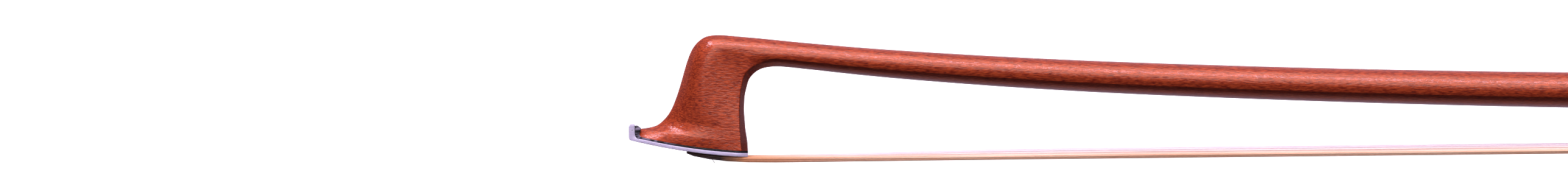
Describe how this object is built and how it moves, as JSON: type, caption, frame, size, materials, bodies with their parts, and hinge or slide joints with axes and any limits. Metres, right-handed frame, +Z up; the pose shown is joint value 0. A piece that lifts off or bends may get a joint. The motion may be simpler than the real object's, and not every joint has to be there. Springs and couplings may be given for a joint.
{
  "type": "violin bow",
  "caption": "Violin bow at playing tension: round sprung stick with a hatchet head, flat hair ribbon, and an ebony frog drawn along an octagonal handle by a screw button.",
  "frame": {"origin": "on the surface that the bow stands on, hair down, under the middle of its length and width", "axes": "+X along the stick from the head's nose to the button, +Z up from the hair to the stick, +Y across the hair"},
  "size_m": [0.7438, 0.013, 0.0267],
  "materials": {
    "pernambuco": "orange-brown varnish, rubbed to a soft gloss",
    "ebony": "black, polished",
    "bone": "polished bone",
    "horsehair": "white horsehair",
    "boxwood": "bare",
    "thread": "waxed thread",
    "silver": "polished silver",
    "steel": "turned steel",
    "brass": "turned brass",
    "mother_of_pearl": "polished mother-of-pearl",
    "leather": "smooth brown leather",
    "dark_strip": "dark lapping strip",
    "light_strip": "pale lapping strip"
  },
  "bodies": {
    "stick": {"stick": "pernambuco", "head_liner": "ebony", "tip_plate": "bone", "head_plug": "boxwood", "head_hair_knot": "thread", "hair_ribbon": "horsehair", "winding_strip_dark": "dark_strip", "winding_strip_light": "light_strip", "thumb_leather": "leather"},
    "frog": {"frog_body": "ebony", "underslide": "silver", "underslide_screw_front": "steel", "underslide_screw_rear": "steel", "eyelet": "brass", "pearl_slide": "mother_of_pearl", "slide_backing": "silver", "ferrule": "silver", "ferrule_wedge": "boxwood", "frog_plug": "boxwood", "frog_hair_knot": "thread", "heel_plate_lower": "silver", "heel_plate_back": "silver", "heel_pin_left": "silver", "heel_pin_right": "silver", "heel_pin_back": "silver", "eye_ring_left": "silver", "eye_ring_right": "silver", "eye_pearl_left": "mother_of_pearl", "eye_pearl_right": "mother_of_pearl"},
    "screw": {"screw": "steel", "button_front_collar": "silver", "button_core": "ebony", "button_rear_collar": "silver", "button_pearl_eye": "mother_of_pearl"}
  },
  "joints": [
    {"name": "screw_turn", "type": "hinge", "parent": "stick", "child": "screw", "pos_m": [0.35615, 0, 0.0215], "axis": [-1, 0, 0], "range_deg": [-2160, 1440]},
    {"name": "frog_slide", "type": "slide", "parent": "stick", "child": "frog", "axis": [1, 0, 0], "range_m": [-0.0042, 0.0028], "deforming": ["hair_ribbon"]}
  ],
  "couplings": [
    {"joint": "screw_turn", "follows": "frog_slide", "rad_per_m": 8976}
  ]
}
